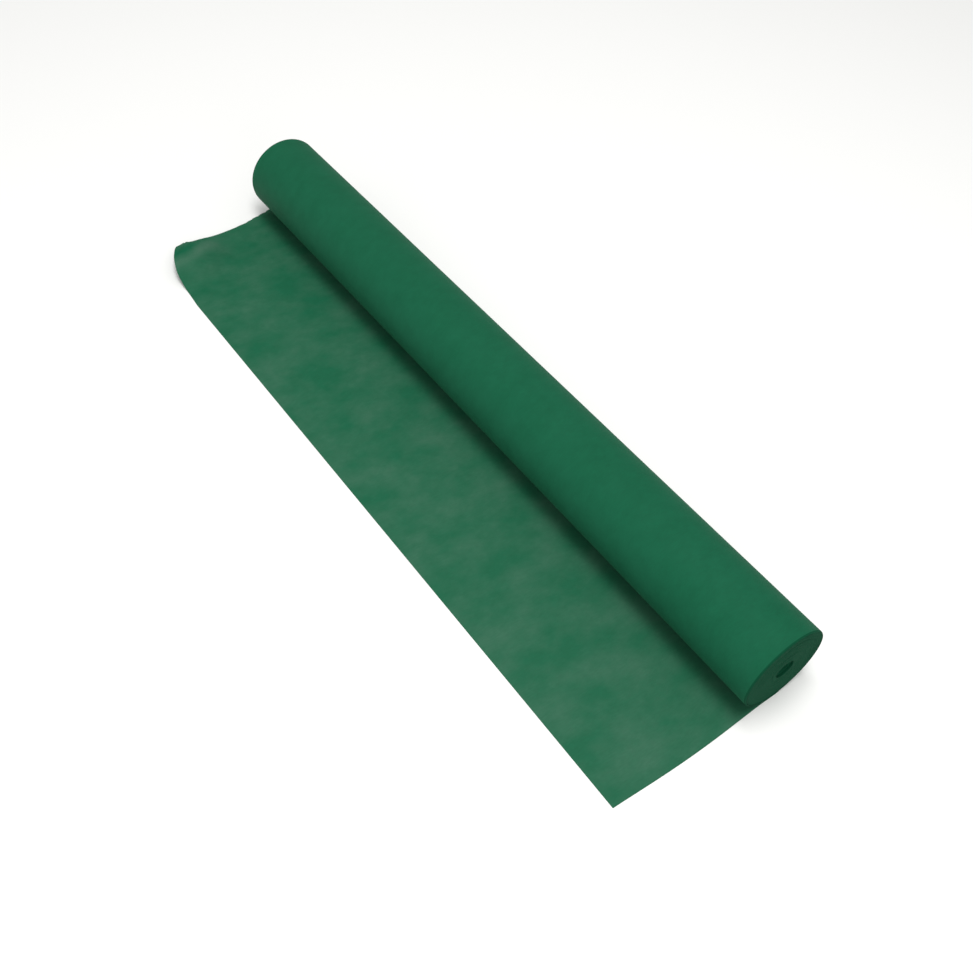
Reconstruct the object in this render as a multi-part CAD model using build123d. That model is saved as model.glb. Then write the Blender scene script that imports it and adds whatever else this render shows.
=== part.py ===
"""A narrow backdrop roll: one long sheet, the web, wound on a spiral-wound paperboard core.

The roll lies on the floor with the first stretch of the web, the leaf, laid out beside it.
Lengths are in millimetres. +Y runs along the core, +Z is up, and the leaf lies towards -X.
The origin is on the core's axis, half way between its ends.
"""

from build123d import *

import os
from math import cos, degrees, radians, sin

# The web: the sheet that the roll is made of
WEB_WIDTH = 1350.0
WEB_THICKNESS = 0.4
ROLL_DIAMETER = 142.0

# The leaf: the stretch of web that is off the roll, from the line where the roll touches it to its cut edge
LEAF_LENGTH = 290.0
LEAD_IN_LENGTH = 20.0  # the part of it under the roll's flank, which moves along with the roll
LEAD_IN_WRAP = 12.0  # degrees of the roll that the lead-in also follows, up the side away from the leaf

# The core: two plies of paperboard strip, wound one over the other and glued
CORE_BORE_DIAMETER = 26.0
INNER_PLY_WALL = 0.9
OUTER_PLY_WALL = 1.1
CORE_RECESS = 8.0  # how far each end of the core stands back from the web's edge

# The strip of double-sided tape that holds the web's inner end on the core
TAPE_WIDTH = 25.0
TAPE_THICKNESS = 0.15
TAPE_END_MARGIN = 15.0  # bare core past each end of the tape
TAPE_ANGLE = 60.0  # where the middle of the tape lies round the core, from +X towards +Z

# Clearances
GLUE_LINE = 0.05  # between the two plies, and between the core and its tape
WINDING_CLEARANCE = 0.05  # between the tape and the web's first turn
ROLLING_CLEARANCE = 0.3  # between the turning roll and the web that lies under it

# What follows from them
core_length = WEB_WIDTH - 2 * CORE_RECESS
inner_ply_bore_r = CORE_BORE_DIAMETER / 2
inner_ply_outer_r = inner_ply_bore_r + INNER_PLY_WALL
outer_ply_bore_r = inner_ply_outer_r + GLUE_LINE
core_outer_r = outer_ply_bore_r + OUTER_PLY_WALL
tape_bore_r = core_outer_r + GLUE_LINE
first_turn_r = tape_bore_r + TAPE_THICKNESS + WINDING_CLEARANCE
roll_r = ROLL_DIAMETER / 2
web_top_z = -(roll_r + ROLLING_CLEARANCE)
floor_z = web_top_z - WEB_THICKNESS


def tube(bore_r, outer_r, length):
    """A round tube along Y, with its middle at the origin."""
    ring = Plane.XZ * (Circle(outer_r) - Circle(bore_r))
    return extrude(ring, amount=length / 2, both=True)


def strip_round_core(bore_r, thickness, width, length, middle_angle):
    """A strip bent round the core and running along it, width measured round the core."""
    sweep = degrees(width / bore_r)
    start = middle_angle - sweep / 2
    outside = CenterArc((0, 0), bore_r + thickness, start, sweep)
    inside = CenterArc((0, 0), bore_r, start, sweep)
    sides = [Line(outside @ end, inside @ end) for end in (0, 1)]
    # Plane.XZ's own X and Y are the part's X and Z
    section = Plane.XZ * make_face([outside, inside, *sides])
    return extrude(section, amount=length / 2, both=True)


def core_inner_ply():
    return tube(inner_ply_bore_r, inner_ply_outer_r, core_length)


def core_outer_ply():
    return tube(outer_ply_bore_r, core_outer_r, core_length)


def start_tape():
    length = core_length - 2 * TAPE_END_MARGIN
    return strip_round_core(tape_bore_r, TAPE_THICKNESS, TAPE_WIDTH, length, TAPE_ANGLE)


def wound_web():
    """All the turns of the web, as one solid."""
    return tube(first_turn_r, roll_r, WEB_WIDTH)


def lead_in():
    """The web that the roll stands on: flat on the floor up to the lowest line, then following the roll."""
    top_r = -web_top_z
    under_r = -floor_z
    lowest = -90  # the direction of the roll's lowest line, seen along the core
    up = radians(lowest + LEAD_IN_WRAP)
    outline = [
        Line((0, web_top_z), (-LEAD_IN_LENGTH, web_top_z)),
        Line((-LEAD_IN_LENGTH, web_top_z), (-LEAD_IN_LENGTH, floor_z)),
        Line((-LEAD_IN_LENGTH, floor_z), (0, floor_z)),
        CenterArc((0, 0), under_r, lowest, LEAD_IN_WRAP),
        Line((under_r * cos(up), under_r * sin(up)), (top_r * cos(up), top_r * sin(up))),
        CenterArc((0, 0), top_r, lowest, LEAD_IN_WRAP),
    ]
    return extrude(Plane.XZ * make_face(outline), amount=WEB_WIDTH / 2, both=True)


def free_leaf():
    """The web on the floor, from the lead-in to the cut edge."""
    length = LEAF_LENGTH - LEAD_IN_LENGTH
    sheet = Box(length, WEB_WIDTH, WEB_THICKNESS, align=(Align.MIN, Align.CENTER, Align.MIN))
    return Pos(-LEAF_LENGTH, 0, floor_z) * sheet


NODES = {
    "core_inner_ply": core_inner_ply,
    "core_outer_ply": core_outer_ply,
    "start_tape": start_tape,
    "wound_web": wound_web,
    "lead_in": lead_in,
    "free_leaf": free_leaf,
}

os.makedirs("parts", exist_ok=True)
for name, make in NODES.items():
    export_step(make(), f"parts/{name}.step")
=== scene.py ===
"""A narrow backdrop roll on a pale floor, with the first stretch of its web laid out beside it.

All lengths are in metres. +Y runs along the core, +Z is up and the leaf lies towards -X.
"""

import math

import bmesh
import bpy
import numpy as np
from mathutils import Matrix, Vector, noise


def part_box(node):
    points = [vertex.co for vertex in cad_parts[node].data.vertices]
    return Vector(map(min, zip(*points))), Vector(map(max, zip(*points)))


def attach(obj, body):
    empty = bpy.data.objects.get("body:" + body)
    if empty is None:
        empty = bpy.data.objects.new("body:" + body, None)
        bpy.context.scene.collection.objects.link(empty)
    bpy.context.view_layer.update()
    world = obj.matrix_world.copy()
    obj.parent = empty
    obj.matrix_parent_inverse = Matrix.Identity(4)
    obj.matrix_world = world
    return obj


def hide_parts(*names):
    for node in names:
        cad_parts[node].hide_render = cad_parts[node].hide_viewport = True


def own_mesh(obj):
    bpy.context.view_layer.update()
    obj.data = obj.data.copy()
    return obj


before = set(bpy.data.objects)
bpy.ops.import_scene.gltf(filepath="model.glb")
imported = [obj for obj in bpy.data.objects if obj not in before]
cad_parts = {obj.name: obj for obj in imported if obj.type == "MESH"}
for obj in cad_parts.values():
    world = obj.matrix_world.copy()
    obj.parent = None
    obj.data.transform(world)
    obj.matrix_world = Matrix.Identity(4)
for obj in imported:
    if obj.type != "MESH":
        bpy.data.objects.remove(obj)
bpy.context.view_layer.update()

# ---------------------------------------------------------------------------------------------
# The core: two plies of grey-brown paperboard strip, wound as helices of opposite hand and glued,
# so that each ply's open seam lies over whole board. It stands back inside the web's ends.
# ---------------------------------------------------------------------------------------------
SEAM_LEAD = 0.070  # how far a ply's seam moves along the core in one turn
SEAM_GAP = 0.0006  # the open line where the edges of one ply meet
INNER_WALL = 0.0009  # the plies' thicknesses
OUTER_WALL = 0.0011
SEAM_ANGLE = 0.6  # where round the core the seams cross its middle, in radians
BOARD = "#8b7c68"
BOARD_SHADE = "#6f6150"
BOARD_FLECK = "#b5a893"

TURN = 2 * math.pi


def linear(hex_colour):
    """The linear colour of an sRGB hex value."""
    shares = [int(hex_colour[i : i + 2], 16) / 255 for i in (1, 3, 5)]
    return (*[s / 12.92 if s <= 0.04045 else ((s + 0.055) / 1.055) ** 2.4 for s in shares], 1.0)


def add(tree, kind, inputs=None, out=0, **settings):
    """Adds a node with its settings and its inputs, and returns one output. An input is a value or
    another node's output."""
    node = tree.nodes.new(kind)
    for name, value in settings.items():
        setattr(node, name, value)
    for socket, value in (inputs or {}).items():
        if isinstance(value, bpy.types.NodeSocket):
            tree.links.new(value, node.inputs[socket])
        else:
            node.inputs[socket].default_value = value
    return node.outputs[out] if len(node.outputs) else node


def empty_material(name):
    material = bpy.data.materials.new(name)
    material.use_nodes = True
    material.node_tree.nodes.clear()
    return material, material.node_tree


def wound_strip_tree():
    """A strip wound round the Y axis, as a closed shell. Twist slews it as it runs along the axis, and
    Gain is how much further out its last turn is than its first."""
    tree = bpy.data.node_groups.new("wound strip", "GeometryNodeTree")
    for name, kind in (
        ("First radius", "NodeSocketFloat"),
        ("Gain", "NodeSocketFloat"),
        ("Turns", "NodeSocketFloat"),
        ("Start angle", "NodeSocketFloat"),
        ("Twist", "NodeSocketFloat"),
        ("Wall", "NodeSocketFloat"),
        ("Width", "NodeSocketFloat"),
        ("Middle", "NodeSocketFloat"),
        ("Edge wander", "NodeSocketFloat"),
        ("Seed", "NodeSocketFloat"),
        ("Points round", "NodeSocketInt"),
        ("Points along", "NodeSocketInt"),
        ("Finish", "NodeSocketMaterial"),
    ):
        tree.interface.new_socket(name, in_out="INPUT", socket_type=kind)
    tree.interface.new_socket("Strip", in_out="OUTPUT", socket_type="NodeSocketGeometry")
    inlet = tree.nodes.new("NodeGroupInput").outputs

    grid = add(
        tree,
        "GeometryNodeMeshGrid",
        {
            "Size X": 1.0,
            "Size Y": 1.0,
            "Vertices X": inlet["Points round"],
            "Vertices Y": inlet["Points along"],
        },
    )
    split = add(tree, "ShaderNodeSeparateXYZ", {0: grid.node.outputs["UV Map"]}).node
    round_share, along_share = split.outputs[0], split.outputs[1]

    centred = add(tree, "ShaderNodeMath", {0: along_share, 1: 0.5}, operation="SUBTRACT")
    along = add(
        tree,
        "ShaderNodeMath",
        {0: centred, 1: inlet["Width"], 2: inlet["Middle"]},
        operation="MULTIPLY_ADD",
    )
    turns_done = add(tree, "ShaderNodeMath", {0: round_share, 1: inlet["Turns"]}, operation="MULTIPLY")
    slewed = add(
        tree,
        "ShaderNodeMath",
        {0: along, 1: inlet["Twist"], 2: inlet["Start angle"]},
        operation="MULTIPLY_ADD",
    )
    angle = add(tree, "ShaderNodeMath", {0: turns_done, 1: TURN, 2: slewed}, operation="MULTIPLY_ADD")
    radius = add(
        tree,
        "ShaderNodeMath",
        {0: round_share, 1: inlet["Gain"], 2: inlet["First radius"]},
        operation="MULTIPLY_ADD",
    )
    # The edge wanders a little from turn to turn, in its own way for each seed.
    wander_at = add(
        tree, "ShaderNodeMath", {0: inlet["Seed"], 1: 31.7, 2: turns_done}, operation="MULTIPLY_ADD"
    )
    wavering = add(
        tree, "ShaderNodeTexNoise", {"W": wander_at, "Scale": 1.3, "Detail": 2.0}, noise_dimensions="1D"
    )
    swing = add(
        tree,
        "ShaderNodeMapRange",
        {"Value": wavering, "From Min": 0.3, "From Max": 0.7, "To Min": -1.0, "To Max": 1.0},
    )
    edge = add(
        tree, "ShaderNodeMath", {0: swing, 1: inlet["Edge wander"], 2: along}, operation="MULTIPLY_ADD"
    )

    cosine = add(tree, "ShaderNodeMath", {0: angle}, operation="COSINE")
    sine = add(tree, "ShaderNodeMath", {0: angle}, operation="SINE")
    across = add(tree, "ShaderNodeMath", {0: radius, 1: cosine}, operation="MULTIPLY")
    upward = add(tree, "ShaderNodeMath", {0: radius, 1: sine}, operation="MULTIPLY")
    place = add(tree, "ShaderNodeCombineXYZ", {0: across, 1: edge, 2: upward})
    inside = add(tree, "GeometryNodeSetPosition", {"Geometry": grid, "Position": place})

    at = add(tree, "GeometryNodeInputPosition")
    outward = add(tree, "ShaderNodeVectorMath", {0: at, 1: (1, 0, 1)}, operation="MULTIPLY")
    outward = add(tree, "ShaderNodeVectorMath", {0: outward}, operation="NORMALIZE")
    outside = add(
        tree,
        "GeometryNodeExtrudeMesh",
        {"Mesh": inside, "Offset": outward, "Offset Scale": inlet["Wall"], "Individual": False},
    )
    turned = add(tree, "GeometryNodeFlipFaces", {"Mesh": inside})
    both = tree.nodes.new("GeometryNodeJoinGeometry")
    tree.links.new(outside, both.inputs[0])
    tree.links.new(turned, both.inputs[0])
    shell = add(tree, "GeometryNodeMergeByDistance", {"Geometry": both.outputs[0], "Distance": 1e-6})

    unrolled = add(tree, "ShaderNodeMath", {0: radius, 1: angle}, operation="MULTIPLY")
    pattern = add(tree, "ShaderNodeCombineXYZ", {0: unrolled, 1: along})
    marked = add(
        tree,
        "GeometryNodeStoreNamedAttribute",
        {"Geometry": shell, "Name": "pattern", "Value": pattern},
        data_type="FLOAT2",
        domain="CORNER",
    )
    real = add(tree, "GeometryNodeRealizeInstances", {"Geometry": marked})
    finished = add(tree, "GeometryNodeSetMaterial", {"Geometry": real, "Material": inlet["Finish"]})
    tree.links.new(finished, tree.nodes.new("NodeGroupOutput").inputs[0])
    return tree


def tidy_mesh(mesh, corner=math.radians(35), recalculate=True):
    """Smooth faces that meet sharply only at real corners, with normals that point outwards."""
    form = bmesh.new()
    form.from_mesh(mesh)
    bmesh.ops.remove_doubles(form, verts=form.verts, dist=1e-7)
    if recalculate:
        bmesh.ops.recalc_face_normals(form, faces=form.faces)
    for face in form.faces:
        face.smooth = True
    for line in form.edges:
        line.smooth = line.is_manifold and line.calc_face_angle(0) < corner
    form.to_mesh(mesh)
    form.free()
    return mesh


strip_tree = wound_strip_tree()


def wind_strip(name, finish, **sizes):
    """A plain object made by the wound strip tree, with the sizes given by their names in the tree."""
    holder = bpy.data.objects.new(name + " tree", bpy.data.meshes.new(name))
    bpy.context.scene.collection.objects.link(holder)
    modifier = holder.modifiers.new("winding", "NODES")
    modifier.node_group = strip_tree
    identifiers = {
        item.name: item.identifier for item in strip_tree.interface.items_tree if item.in_out == "INPUT"
    }
    defaults = {"Gain": 0.0, "Start angle": 0.0, "Twist": 0.0, "Edge wander": 0.0, "Seed": 0.0}
    for size, value in {**defaults, **sizes, "Finish": finish}.items():
        modifier[identifiers[size]] = value
    ready = holder.evaluated_get(bpy.context.evaluated_depsgraph_get())
    mesh = bpy.data.meshes.new_from_object(ready)
    bpy.data.objects.remove(holder)
    mesh.name = name
    piece = bpy.data.objects.new(name, tidy_mesh(mesh))
    bpy.context.scene.collection.objects.link(piece)
    return piece


def paperboard():
    """Recycled paperboard, calendered and uncoated: matt and grey-brown, mottled, with paler flecks
    of fibre."""
    material, tree = empty_material("recycled paperboard")
    place = add(tree, "ShaderNodeUVMap", uv_map="pattern")
    stretched = add(tree, "ShaderNodeMapping", {"Vector": place, "Scale": (0.45, 1.0, 1.0)})
    # Fibre bundles are under 1 mm; they are drawn at 1.6 mm so that they show.
    flecks = add(tree, "ShaderNodeTexNoise", {"Vector": stretched, "Scale": 1 / 0.0016, "Detail": 4.0})
    mottle = add(tree, "ShaderNodeTexNoise", {"Vector": place, "Scale": 1 / 0.012, "Detail": 3.0})
    board = add(
        tree,
        "ShaderNodeMix",
        {"Factor": mottle, 6: linear(BOARD_SHADE), 7: linear(BOARD)},
        out=2,
        data_type="RGBA",
    )
    fleck_share = add(tree, "ShaderNodeMapRange", {"Value": flecks, "From Min": 0.52, "From Max": 0.75})
    colour = add(
        tree,
        "ShaderNodeMix",
        {"Factor": fleck_share, 6: board, 7: linear(BOARD_FLECK)},
        out=2,
        data_type="RGBA",
    )
    relief = add(tree, "ShaderNodeBump", {"Height": flecks, "Strength": 0.5, "Distance": 0.0002})
    shader = add(
        tree,
        "ShaderNodeBsdfPrincipled",
        {"Base Color": colour, "Roughness": 0.92, "IOR": 1.5, "Normal": relief},
    )
    add(tree, "ShaderNodeOutputMaterial", {"Surface": shader})
    return material


board_finish = paperboard()
for ply, hand, wall in (("core_inner_ply", 1, INNER_WALL), ("core_outer_ply", -1, OUTER_WALL)):
    low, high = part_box(ply)
    bore_r = high.z - wall
    wound = wind_strip(
        "spiral_" + ply,
        board_finish,
        **{
            "First radius": bore_r,
            "Turns": 1 - SEAM_GAP / (TURN * bore_r),
            "Start angle": SEAM_ANGLE * hand,
            "Twist": hand * TURN / SEAM_LEAD,
            "Wall": wall,
            "Width": high.y - low.y,
            "Middle": 0.0,
            "Points round": 45,
            "Points along": 401,
        },
    )
    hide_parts(ply)
    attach(wound, "roll")

# ---------------------------------------------------------------------------------------------
# The start tape: double-sided tape of off-white tissue, coated both sides with clear adhesive. It
# runs along the core under the web's first turn and keeps its CAD shape.
# ---------------------------------------------------------------------------------------------
TISSUE = "#d9d2c0"
TISSUE_THREAD = "#efe9da"

tape_finish, tape_tree = empty_material("tissue tape with clear adhesive")
tape_place = add(tape_tree, "ShaderNodeTexCoord", out=3)
tape_fibres = add(
    tape_tree, "ShaderNodeTexNoise", {"Vector": tape_place, "Scale": 1 / 0.002, "Detail": 4.0}
)
tape_colour = add(
    tape_tree,
    "ShaderNodeMix",
    {"Factor": tape_fibres, 6: linear(TISSUE), 7: linear(TISSUE_THREAD)},
    out=2,
    data_type="RGBA",
)
tape_relief = add(
    tape_tree, "ShaderNodeBump", {"Height": tape_fibres, "Strength": 0.3, "Distance": 0.0001}
)
tape_shader = add(
    tape_tree,
    "ShaderNodeBsdfPrincipled",
    {"Base Color": tape_colour, "Roughness": 0.35, "IOR": 1.47, "Normal": tape_relief},
)
add(tape_tree, "ShaderNodeOutputMaterial", {"Surface": tape_shader})
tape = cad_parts["start_tape"]
tape.data.materials.clear()
tape.data.materials.append(tape_finish)

# ---------------------------------------------------------------------------------------------
# The web on the roll: spunbond polypropylene, a limp sheet of melted filaments laid at random and
# bonded at fine points. The outer turn shows as one smooth skin; the ends show the turns' cut edges.
# ---------------------------------------------------------------------------------------------
WEB_GREEN = "#10583c"
WEB_DEEP = "#0e5439"
WEB_THIN = "#185e43"
EDGE_GREEN = "#0e4831"
EDGE_SHADE = "#0c422c"
DRAWN_TURNS = 40  # the real end has about 140 turns 0.4 mm apart, too fine to show, so fewer are drawn
EDGE_DEPTH = 0.004  # how deep the gaps between the drawn turns go
EDGE_WANDER = 0.0002  # how far a turn's edge stands out of line with its neighbours
RIM = 0.0018  # how far the outermost turns' edges are rounded over by handling
RIM_RUN = 1.6 * RIM  # how far along the roll that rounding runs
RIM_WALL = 0.0006  # how thick the rounded turns are where they meet the drawn ones
SKIN_WAVE = 0.00012  # how far the outer turn sinks over slack turns
FIRST_TURN_R = 0.0153  # where the first turn lies, over the core and its tape
FIRST_TURN_ANGLE = 1.1  # where round the core it starts, in radians

web_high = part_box("wound_web")[1]
roll_r = web_high.z
half_width = web_high.y


def spunbond(name, green, deep, thin, thin_share):
    """Spunbond polypropylene dyed in the melt: matt, with dense and thin clouds where more or fewer
    filaments fell, short fibre streaks, and the fine dimples of the bonding roller. A point attribute
    on the leaf adds a painted highlight along a hump's crest, painted shade past it, and a paler near
    half."""
    material, tree = empty_material(name)
    place = add(tree, "ShaderNodeUVMap", uv_map="pattern")
    drawn_out = add(tree, "ShaderNodeMapping", {"Vector": place, "Scale": (0.75, 1.0, 1.0)})
    clouds = add(
        tree,
        "ShaderNodeTexNoise",
        {"Vector": drawn_out, "Scale": 1 / 0.060, "Detail": 6.0, "Roughness": 0.55},
    )
    wisps = add(
        tree,
        "ShaderNodeTexNoise",
        {"Vector": drawn_out, "Scale": 1 / 0.017, "Detail": 3.0, "Roughness": 0.6},
    )
    streaked = add(tree, "ShaderNodeMapping", {"Vector": place, "Scale": (0.22, 1.0, 1.0)})
    # Filaments are 0.02 mm; their streaks are drawn 2.2 mm wide.
    fibres = add(
        tree,
        "ShaderNodeTexNoise",
        {"Vector": streaked, "Scale": 1 / 0.0022, "Detail": 4.0, "Roughness": 0.65},
    )
    # Bond points are 0.8 mm apart; they are drawn at 1.6 mm.
    bonds = add(
        tree,
        "ShaderNodeTexVoronoi",
        {"Vector": place, "Scale": 1 / 0.0016, "Randomness": 0.25},
        feature="F1",
    )

    dense = add(tree, "ShaderNodeMapRange", {"Value": wisps, "From Min": 0.35, "From Max": 0.7})
    ground = add(
        tree,
        "ShaderNodeMix",
        {"Factor": dense, 6: linear(deep), 7: linear(green)},
        out=2,
        data_type="RGBA",
    )
    cloud_share = add(
        tree,
        "ShaderNodeMapRange",
        {"Value": clouds, "From Min": 0.36, "From Max": 0.72, "To Max": thin_share},
    )
    broken = add(
        tree, "ShaderNodeMapRange", {"Value": wisps, "From Min": 0.25, "From Max": 0.65, "To Min": 0.7}
    )
    # Painted highlight along the hump's crest and painted shade past it, plus a paler near half, shift
    # the thin-cloud mix.
    ridge_light_and_paling = add(tree, "ShaderNodeAttribute", out=2, attribute_name="ridge_light_and_paling")
    thin_places_and_ridge_light = add(
        tree, "ShaderNodeMath", {0: cloud_share, 1: broken, 2: ridge_light_and_paling}, operation="MULTIPLY_ADD"
    )
    clouded_and_ridge_lit = add(
        tree,
        "ShaderNodeMix",
        {"Factor": thin_places_and_ridge_light, 6: ground, 7: linear(thin)},
        out=2,
        data_type="RGBA",
        clamp_factor=False,
    )
    grain = add(
        tree,
        "ShaderNodeMapRange",
        {"Value": fibres, "From Min": 0.3, "From Max": 0.7, "To Min": 0.93, "To Max": 1.07},
    )
    grained = add(tree, "ShaderNodeVectorMath", {0: clouded_and_ridge_lit, "Scale": grain}, operation="SCALE")
    height = add(tree, "ShaderNodeMath", {0: bonds, 1: 0.6, 2: fibres}, operation="MULTIPLY_ADD")
    relief = add(tree, "ShaderNodeBump", {"Height": height, "Strength": 0.35, "Distance": 0.00025})
    rough = add(tree, "ShaderNodeMapRange", {"Value": fibres, "To Min": 0.66, "To Max": 0.82})
    shader = add(
        tree,
        "ShaderNodeBsdfPrincipled",
        {
            "Base Color": grained,
            "Roughness": rough,
            "IOR": 1.49,
            "Specular IOR Level": 0.11,
            "Sheen Weight": 0.01,
            "Sheen Roughness": 0.5,
            "Normal": relief,
        },
    )
    add(tree, "ShaderNodeOutputMaterial", {"Surface": shader})
    return material


def cut_edges():
    """The slit edges of many turns of spunbond: filament ends, fuzzy, duller and darker than the
    sheet's face."""
    material, tree = empty_material("slit edges of spunbond")
    place = add(tree, "ShaderNodeTexCoord", out=3)
    patches = add(tree, "ShaderNodeTexNoise", {"Vector": place, "Scale": 1 / 0.022, "Detail": 3.0})
    fuzz = add(tree, "ShaderNodeTexNoise", {"Vector": place, "Scale": 1 / 0.0018, "Detail": 3.0})
    share = add(tree, "ShaderNodeMath", {0: patches, 1: 0.55, 2: -0.05}, operation="MULTIPLY_ADD")
    share = add(tree, "ShaderNodeMath", {0: fuzz, 1: 0.5, 2: share}, operation="MULTIPLY_ADD")
    colour = add(
        tree,
        "ShaderNodeMix",
        {"Factor": share, 6: linear(EDGE_SHADE), 7: linear(EDGE_GREEN)},
        out=2,
        data_type="RGBA",
    )
    relief = add(tree, "ShaderNodeBump", {"Height": fuzz, "Strength": 0.5, "Distance": 0.0004})
    shader = add(
        tree,
        "ShaderNodeBsdfPrincipled",
        {
            "Base Color": colour,
            "Roughness": 0.95,
            "IOR": 1.49,
            "Specular IOR Level": 0.05,
            "Sheen Weight": 0.01,
            "Normal": relief,
        },
    )
    add(tree, "ShaderNodeOutputMaterial", {"Surface": shader})
    return material


def lathe(name, profile, segments, dip):
    """A closed shell turned round Y from a closed loop of (y, radius, may sink), with a pattern map in
    metres."""
    rows = len(profile)
    ys = np.array([p[0] for p in profile])
    radii = np.array([p[1] for p in profile])
    sinks = np.array([p[2] for p in profile])
    angles = np.arange(segments) / segments * TURN
    points = []
    for y, radius, sink in zip(ys, radii, sinks):
        for angle in angles:
            here = radius
            if sink:
                # The dip varies slowly round the roll and along it.
                way = Vector((math.cos(angle) * 0.8, y * 3.0, math.sin(angle) * 0.8))
                here -= dip * (0.5 + 0.5 * noise.noise(way * 2.0))
            points.append((here * math.cos(angle), y, here * math.sin(angle)))
    faces = []
    for row in range(rows):
        below, above = row * segments, (row + 1) % rows * segments
        for k in range(segments):
            after = (k + 1) % segments
            faces.append((below + k, above + k, above + after, below + after))
    mesh = bpy.data.meshes.new(name)
    mesh.from_pydata(points, [], faces)
    run = np.concatenate([[0.0], np.cumsum(np.hypot(np.diff(ys), np.diff(radii)))])
    layer = mesh.uv_layers.new(name="pattern")
    chart = np.zeros((len(faces) * 4, 2), np.float32)
    corner = 0
    for row in range(rows):
        start, end = run[row], run[row + 1] if row + 1 < rows else run[row] + 0.001
        for k in range(segments):
            around = (k / segments * TURN * roll_r, (k + 1) / segments * TURN * roll_r)
            chart[corner : corner + 4] = (
                (around[0], start),
                (around[0], end),
                (around[1], end),
                (around[1], start),
            )
            corner += 4
    layer.data.foreach_set("uv", chart.ravel())
    return mesh


roll_finish = spunbond("spunbond web wound on the roll", WEB_GREEN, WEB_DEEP, WEB_THIN, 0.45)
edge_finish = cut_edges()

rim_r = roll_r - RIM - RIM_WALL
skin_rows = [(y, roll_r, True) for y in np.linspace(-half_width + RIM_RUN, half_width - RIM_RUN, 121)]
near_rim = [
    (-half_width + EDGE_DEPTH, FIRST_TURN_R, False),
    (-half_width + EDGE_DEPTH, rim_r, False),
    (-half_width, rim_r, False),
]
for a in np.radians(np.linspace(0, 82, 7)):
    y = -half_width + RIM_RUN * (1 - math.cos(a))
    near_rim.append((y, roll_r - RIM * (1 - math.sin(a)), False))
far_rim = [(-y, radius, sink) for y, radius, sink in reversed(near_rim)]
skin = bpy.data.objects.new(
    "outer_turn", tidy_mesh(lathe("outer_turn", near_rim + skin_rows + far_rim, 256, SKIN_WAVE))
)
bpy.context.scene.collection.objects.link(skin)
skin.data.materials.append(roll_finish)
skin.data.materials.append(edge_finish)
# The rounded rims are the turns' edges, so they have the edges' finish.
for face in skin.data.polygons:
    face.material_index = int(abs(face.center.y) > half_width - 1.2 * RIM)
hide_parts("wound_web")
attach(skin, "roll")

turn_pitch = (rim_r - FIRST_TURN_R) / DRAWN_TURNS
for end, side in (("near", -1), ("far", 1)):
    edges = wind_strip(
        f"{end}_turn_edges",
        edge_finish,
        **{
            "First radius": FIRST_TURN_R,
            "Gain": (DRAWN_TURNS - 1) * turn_pitch,
            "Turns": DRAWN_TURNS - 1,
            "Start angle": FIRST_TURN_ANGLE,
            "Wall": 0.96 * turn_pitch,
            "Width": EDGE_DEPTH + 0.001,
            "Middle": side * (half_width - EDGE_WANDER - (EDGE_DEPTH + 0.001) / 2),
            "Edge wander": EDGE_WANDER,
            "Seed": 3.0 + side,
            "Points round": 48 * (DRAWN_TURNS - 1) + 1,
            "Points along": 3,
        },
    )
    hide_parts("wound_web")
    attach(edges, "roll")

# ---------------------------------------------------------------------------------------------
# The leaf and its lead-in: the first stretch of the same web, off the roll and laid flat. Still
# curled from the roll, its far edge is turned under, and its far outer corner stands up in a hump.
# ---------------------------------------------------------------------------------------------
LEAF_THIN = "#3c6852"
LEAF_GREEN = "#1b5f43"
LEAF_DEEP = "#1a5c40"
WEB_THICKNESS = 0.0004
LEAD_IN_LENGTH = 0.020  # the flat stretch between the leaf and the line where the roll rests
LEAD_IN_WRAP = math.radians(12)  # how far it then follows the roll round
LEAD_IN_CLEARANCE = 0.0003  # between the lead-in and the roll at the floor
POINTS_ACROSS = 301
HUMP_LINE = (  # the crest of the hump on the flat sheet: distance from the roll, along Y, height
    (0.020, 0.678, 0.0000),
    (0.040, 0.6745, 0.0010),
    (0.060, 0.668, 0.0021),
    (0.080, 0.6615, 0.0031),
    (0.110, 0.651, 0.0044),
    (0.160, 0.6425, 0.0065),
    (0.190, 0.633, 0.0130),
    (0.220, 0.6145, 0.0235),
    (0.250, 0.600, 0.0270),
    (0.300, 0.597, 0.0255),
)
HUMP_FOOT = (0.050, 0.9)  # from the crest to the flat sheet: a fixed part, and a share of the height
HUMP_TOP = 0.027  # the crest's height where the painted highlight along it is at full strength
LEAST_HUMP = 0.0008  # where the crest is lower than this the edge lies flat
STEEPEST = math.radians(38)  # how steeply the hump's far side falls before its edge tucks under
TUCK = 0.005  # how much of the hump's height the tucked edge takes, or half of it where it is low
TUCKED_UNDER = 0.0002  # how far below the flat sheet the tucked edge comes to lie
DRAWN_IN = (  # how far the leaf's outer edge is drawn towards the roll: distance past the crest, draw
    (-0.110, 0.0000),
    (-0.070, 0.0025),
    (-0.030, 0.0030),
    (0.000, 0.0110),
    (0.030, 0.0250),
    (0.060, 0.0390),
    (0.090, 0.0460),
)
DRAW_REACH = 0.080  # how far in from the outer edge the sheet takes up that draw
NEAR_SWELL = 0.0038  # how far the near edge swells out
FAR_WAIST = 0.0015  # how far the far edge draws in beside the roll
LEAF_WAVE = 0.0012  # how high the leaf's slack stands off the floor

leaf_low, leaf_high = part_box("free_leaf")
leaf_top = leaf_high.z
leaf_end = -leaf_low.x


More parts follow.
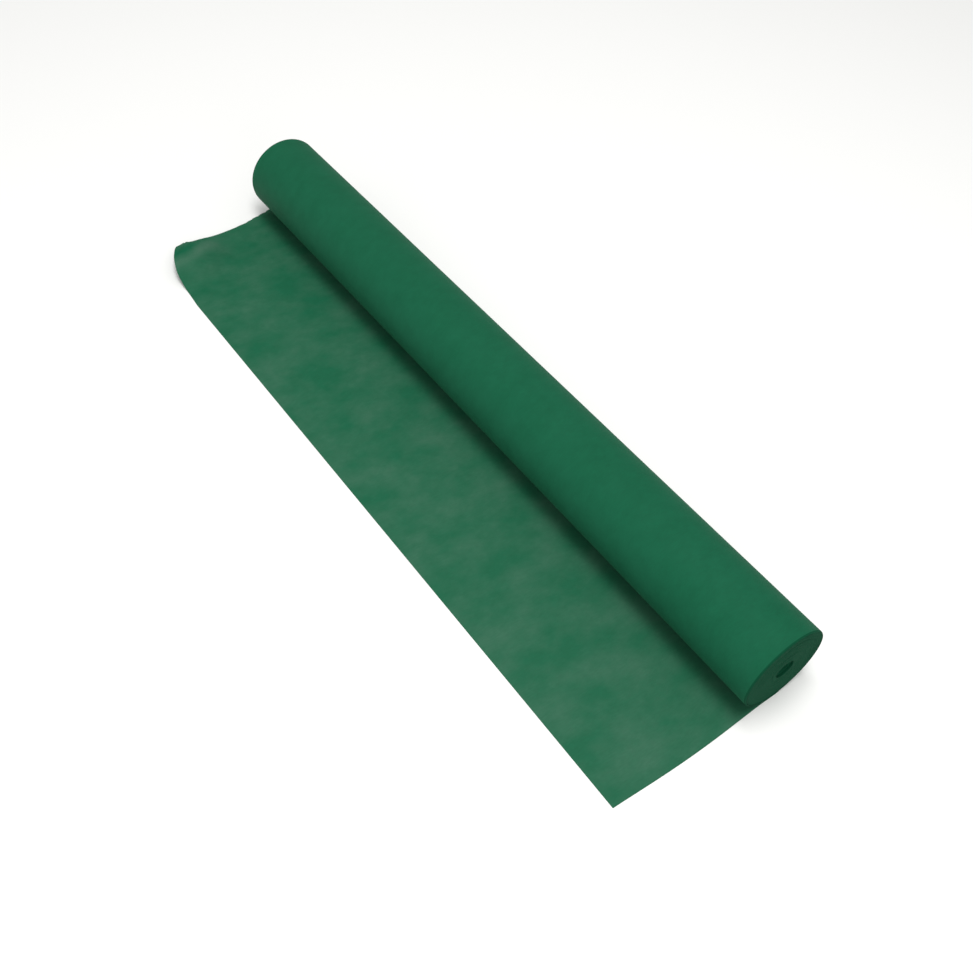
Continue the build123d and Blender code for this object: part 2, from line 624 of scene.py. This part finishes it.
def smooth_line(knots, steps):
    """Points along a smooth curve through the knots, evenly many between each pair."""
    knots = np.array(knots)
    ends = np.vstack([2 * knots[0] - knots[1], knots, 2 * knots[-1] - knots[-2]])
    line = []
    for k in range(1, len(ends) - 2):
        a, b, c, d = ends[k - 1 : k + 3]
        for t in np.arange(steps) / steps:
            square = (2 * a - 5 * b + 4 * c - d) * t**2
            cube = (3 * b - a - 3 * c + d) * t**3
            line.append(0.5 * (2 * b + (c - a) * t + square + cube))
    return np.array([*line, knots[-1]])


def humped(out, along):
    """Where points of the flat leaf lie: distance from the roll, place along Y, height, and the painted
    highlight and shade at the hump's crest, with the near half paler, there."""
    line = smooth_line(HUMP_LINE, 24)
    here = np.column_stack([out, along])
    gaps = here[:, None, :] - line[None, :, :2]
    nearest = np.argmin((gaps**2).sum(2), 1)
    heading = np.gradient(line[:, :2], axis=0)
    heading /= np.linalg.norm(heading, axis=1)[:, None]
    # Past the crest, towards the far edge, is positive.
    outward = np.column_stack([-heading[:, 1], heading[:, 0]])[nearest]
    past = (gaps[np.arange(len(here)), nearest] * outward).sum(1)
    height = line[nearest, 2]
    place, rise = here.copy(), np.zeros(len(here))
    inside = past <= 0
    foot = HUMP_FOOT[0] + HUMP_FOOT[1] * height
    ramp = np.clip(1 + past / foot, 0, 1)
    rise[inside] = (height * ramp**2 * (3 - 2 * ramp))[inside]

    # Past the crest the sheet bends gently down, then tightly under, and the rest lies flat beneath.
    tucked = np.minimum(height / 2, TUCK)
    wide = (height - tucked) / (1 - math.cos(STEEPEST))
    tight = (tucked + TUCKED_UNDER) / (1 + math.cos(STEEPEST))
    for k in np.flatnonzero(~inside):
        if height[k] < LEAST_HUMP:
            rise[k] = height[k]
            continue
        theta = min(past[k] / wide[k], STEEPEST)
        reach = wide[k] * math.sin(theta)
        drop = wide[k] * (1 - math.cos(theta))
        left = past[k] - wide[k] * theta
        if left > 0:
            more = min(left / tight[k], math.pi - STEEPEST)
            reach += tight[k] * (math.sin(STEEPEST + more) - math.sin(STEEPEST))
            drop += tight[k] * (math.cos(STEEPEST) - math.cos(STEEPEST + more))
            reach -= max(0.0, left - tight[k] * more)
        place[k] += (reach - past[k]) * outward[k]
        rise[k] = height[k] - drop

    # The hump draws the sheet in: along Y by about half the length that its rise takes up, and at the
    # outer edge towards the roll.
    taken = 0.3 * height**2 / foot
    place[:, 1] -= taken * np.clip(1 + past / foot, 0, 1)
    draws = smooth_line(DRAWN_IN, 24)
    outer = np.clip(1 + (out - leaf_end) / DRAW_REACH, 0, 1)
    place[:, 0] -= np.interp(past, draws[:, 0], draws[:, 1]) * outer**2 * (3 - 2 * outer)

    # A highlight is painted along the crest and shade past it, where the sheet falls away, and the near
    # half is a little paler.
    crest = height / HUMP_TOP
    ridge_light_and_paling = 0.8 * crest * np.exp(-(((past + 0.010) / 0.012) ** 2))
    ridge_light_and_paling -= 0.5 * crest * np.clip((past - 0.002) / 0.012, 0, 1)
    ridge_light_and_paling -= 0.12 * along / half_width
    return place[:, 0], place[:, 1], rise, ridge_light_and_paling


def laid_sheet(name, finish, out, along, heights, chart, ridge_light_and_paling=0.0):
    """A sheet of the web's thickness under a grid of points, as a closed mesh. The grids hold -x, y, z
    and pattern places; the last argument is the painted highlight and shade at a hump's crest, with the
    paler near half, at each point."""
    rows, columns = out.shape
    mesh = bpy.data.meshes.new(name)
    points = np.stack([-out, along, heights], -1).reshape(-1, 3)
    faces = [
        (r * columns + c, r * columns + c + 1, (r + 1) * columns + c + 1, (r + 1) * columns + c)
        for r in range(rows - 1)
        for c in range(columns - 1)
    ]
    mesh.from_pydata(points.tolist(), [], faces)
    mesh.uv_layers.new(name="pattern")
    order = np.zeros(len(mesh.loops), np.int32)
    mesh.loops.foreach_get("vertex_index", order)
    places = chart.reshape(-1, 2)[order].astype(np.float32)
    mesh.uv_layers["pattern"].data.foreach_set("uv", places.ravel())
    # Painted highlight and shade for the hump's crest, and the paler near half, go to the material as a
    # point attribute.
    ridge_light_layer = mesh.attributes.new("ridge_light_and_paling", "FLOAT", "POINT")
    ridge_light_layer.data.foreach_set("value", (np.zeros(out.shape) + ridge_light_and_paling).astype(np.float32).ravel())
    mesh.materials.append(finish)
    holder = bpy.data.objects.new(name + " surface", mesh)
    bpy.context.scene.collection.objects.link(holder)
    solid = holder.modifiers.new("sheet", "SOLIDIFY")
    solid.thickness = WEB_THICKNESS
    solid.offset = -1.0
    solid.use_even_offset = False
    ready = holder.evaluated_get(bpy.context.evaluated_depsgraph_get())
    closed = bpy.data.meshes.new_from_object(ready)
    closed.name = name
    bpy.data.objects.remove(holder)
    piece = bpy.data.objects.new(name, tidy_mesh(closed, recalculate=False))
    bpy.context.scene.collection.objects.link(piece)
    return piece


leaf_finish = spunbond("spunbond web, one layer", LEAF_GREEN, LEAF_DEEP, LEAF_THIN, 0.84)
across = np.linspace(-half_width, half_width, POINTS_ACROSS)
flat_out, flat_along = np.meshgrid(np.linspace(LEAD_IN_LENGTH, leaf_end, 61), across, indexing="ij")
# The last grid holds the painted highlight and shade at the hump's crest, with the near half paler.
leaf_out, leaf_along, leaf_rise, leaf_ridge_light_and_paling = (
    part.reshape(flat_out.shape) for part in humped(flat_out.ravel(), flat_along.ravel())
)

# The near edge swells out half way along, where the slack gathered, and the far edge has a waist.
progress = (flat_out - LEAD_IN_LENGTH) / (leaf_end - LEAD_IN_LENGTH)
near_share = np.clip(-flat_along / half_width, 0, 1) ** 3
leaf_along -= NEAR_SWELL * near_share * np.sin(math.pi * np.clip(progress, 0, 1)) ** 1.2
far_share = np.clip(flat_along / half_width, 0, 1) ** 3
beside_roll = np.clip((flat_out - LEAD_IN_LENGTH) / 0.11, 0, 1)
leaf_along -= FAR_WAIST * far_share * np.sin(math.pi * beside_roll) ** 2

# Low waves of slack begin a little way from the roll.
slack = np.array(
    [
        0.5 + 0.5 * noise.noise(Vector((o * 9.0, a * 5.0, 4.2)))
        for o, a in zip(flat_out.ravel(), flat_along.ravel())
    ]
).reshape(flat_out.shape)
settled = np.clip((flat_out - 0.03) / 0.06, 0, 1)
leaf_rise += LEAF_WAVE * np.clip(slack - 0.35, 0, 1) * settled**2 * (3 - 2 * settled)

leaf = laid_sheet(
    "leaf_sheet",
    leaf_finish,
    leaf_out,
    leaf_along,
    leaf_top + leaf_rise,
    np.stack([flat_out, flat_along], -1),
    leaf_ridge_light_and_paling,
)
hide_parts("free_leaf")
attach(leaf, "leaf")
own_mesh(leaf)

# The lead-in follows the roll up its other side and closes on it, so that it runs into the outer turn.
wrap_angles = np.linspace(0, LEAD_IN_WRAP, 13)
lead_flat = np.linspace(LEAD_IN_LENGTH, 0.0, 6)[:-1]
wrap_r = roll_r + np.linspace(LEAD_IN_CLEARANCE, 0.00005, 13)
lead_x = np.concatenate([-lead_flat, wrap_r * np.sin(wrap_angles)])
lead_z = np.concatenate([np.full(5, leaf_top), -wrap_r * np.cos(wrap_angles)])
lead_run = np.concatenate([lead_flat, -roll_r * wrap_angles])
lead_across = np.repeat(across[None, :], len(lead_x), 0)
lead_in = laid_sheet(
    "lead_in_sheet",
    leaf_finish,
    np.repeat(-lead_x[::-1, None], POINTS_ACROSS, 1),
    lead_across,
    np.repeat(lead_z[::-1, None], POINTS_ACROSS, 1),
    np.stack([np.repeat(lead_run[::-1, None], POINTS_ACROSS, 1), lead_across], -1),
)
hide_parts("lead_in")
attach(lead_in, "rolling_line")

# ---------------------------------------------------------------------------------------------
# The studio: a matt white floor, a broad soft light overhead, two weak ones on the leaf's side and
# before the roll's near end, and a pale room all round that fills the shadows.
# ---------------------------------------------------------------------------------------------
FLOOR_WHITE = "#f4f4f2"
ROOM = "#ffffff"
FLOOR_Z = leaf_low.z - 0.0001

floor_finish, floor_tree = empty_material("matt white studio paint")
floor_place = add(floor_tree, "ShaderNodeTexCoord", out=3)
floor_grain = add(
    floor_tree, "ShaderNodeTexNoise", {"Vector": floor_place, "Scale": 1 / 0.003, "Detail": 2.0}
)
floor_relief = add(
    floor_tree, "ShaderNodeBump", {"Height": floor_grain, "Strength": 0.1, "Distance": 0.0002}
)
floor_shader = add(
    floor_tree,
    "ShaderNodeBsdfPrincipled",
    {
        "Base Color": linear(FLOOR_WHITE),
        "Roughness": 0.9,
        "Specular IOR Level": 0.1,
        "Normal": floor_relief,
    },
)
add(floor_tree, "ShaderNodeOutputMaterial", {"Surface": floor_shader})

floor_form = bmesh.new()
rings = []
for radius in (0.6, 1.5, 4.0, 12.0, 40.0):
    rings.append(
        [
            floor_form.verts.new((radius * math.cos(a), radius * math.sin(a), FLOOR_Z))
            for a in np.arange(96) / 96 * TURN
        ]
    )
floor_form.faces.new(rings[0])
for inner, outer in zip(rings, rings[1:]):
    for k in range(96):
        floor_form.faces.new((inner[k], outer[k], outer[(k + 1) % 96], inner[(k + 1) % 96]))
for face in floor_form.faces:
    face.smooth = True
floor_mesh = bpy.data.meshes.new("studio_floor")
floor_form.to_mesh(floor_mesh)
floor_form.free()
floor = bpy.data.objects.new("studio_floor", floor_mesh)
bpy.context.scene.collection.objects.link(floor)
floor_mesh.materials.append(floor_finish)

for name, spot, width, length, power in (
    ("overhead_softbox", (-0.3, -0.5, 4.0), 1.3, 2.4, 106.0),
    ("leaf_side_softbox", (-3.0, -0.3, 0.35), 3.0, 0.8, 10.0),
    ("near_end_softbox", (-0.9, -2.8, 1.3), 1.6, 1.0, 10.0),
):
    lamp_data = bpy.data.lights.new(name, "AREA")
    lamp_data.shape = "RECTANGLE"
    lamp_data.size = width
    lamp_data.size_y = length
    lamp_data.energy = power
    lamp = bpy.data.objects.new(name, lamp_data)
    lamp.location = spot
    lamp.rotation_mode = "QUATERNION"
    lamp.rotation_quaternion = (-Vector(spot)).to_track_quat("-Z", "Y")
    bpy.context.scene.collection.objects.link(lamp)

room = bpy.data.worlds.new("pale room")
bpy.context.scene.world = room
room.use_nodes = True
room.node_tree.nodes.clear()
room_light = add(room.node_tree, "ShaderNodeBackground", {"Color": linear(ROOM), "Strength": 0.6})
add(room.node_tree, "ShaderNodeOutputWorld", {"Surface": room_light})
bpy.context.scene.view_settings.view_transform = "Standard"

# ---------------------------------------------------------------------------------------------
# The camera: hand height, looking down along the roll from its near end on the leaf's side.
# ---------------------------------------------------------------------------------------------
EYE = Vector((-0.8566, -1.0364, 1.2687))
azimuth, elevation, lean = (math.radians(a) for a in (-40.15, 49.0, 5.41))
back = Vector(
    (
        math.sin(azimuth) * math.cos(elevation),
        -math.cos(azimuth) * math.cos(elevation),
        math.sin(elevation),
    )
)
level = Vector((0, 0, 1)).cross(back).normalized()
upright = back.cross(level)
right = math.cos(lean) * level + math.sin(lean) * upright
up = math.cos(lean) * upright - math.sin(lean) * level
camera_data = bpy.data.cameras.new("camera")
camera_data.sensor_width = 36.0
camera_data.lens = 41.38
camera = bpy.data.objects.new("camera", camera_data)
camera.matrix_world = Matrix.Translation(EYE) @ Matrix((right, up, back)).transposed().to_4x4()
bpy.context.scene.collection.objects.link(camera)
bpy.context.scene.camera = camera
